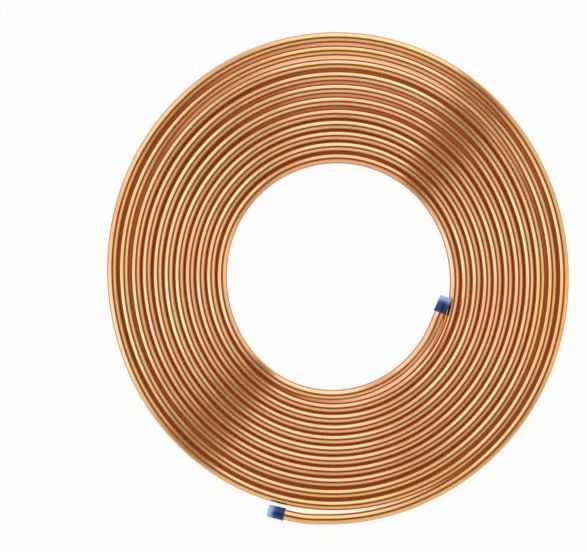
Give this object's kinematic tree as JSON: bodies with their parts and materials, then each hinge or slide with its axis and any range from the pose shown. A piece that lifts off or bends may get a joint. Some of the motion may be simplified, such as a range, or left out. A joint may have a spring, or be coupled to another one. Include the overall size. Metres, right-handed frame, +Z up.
{
  "type": "copper tube coil",
  "caption": "Flat single-layer coil of half-inch soft copper tube, wound clockwise from the inside out, with a push-on plastic cap on each end.",
  "frame": {"origin": "centre of the winding, on the surface that the coil lies on", "axes": "+Z up through the open middle, +Y towards the top of the coil where its turns are loosest, +X to the right seen from above; the inner end lies on the +X side, its cap resting on the shoulder of the first turn, and the outer end lies on the -Y side"},
  "size_m": [0.5726, 0.6101, 0.0249],
  "materials": {
    "copper": "bright drawn copper, soft annealed, faint draw lines and light tarnish",
    "blue_plastic": "moulded dark blue polyethylene, satin"
  },
  "bodies": {
    "root": {"tube_coil": "copper", "inner_end_cap": "blue_plastic", "outer_end_cap": "blue_plastic"}
  },
  "joints": []
}
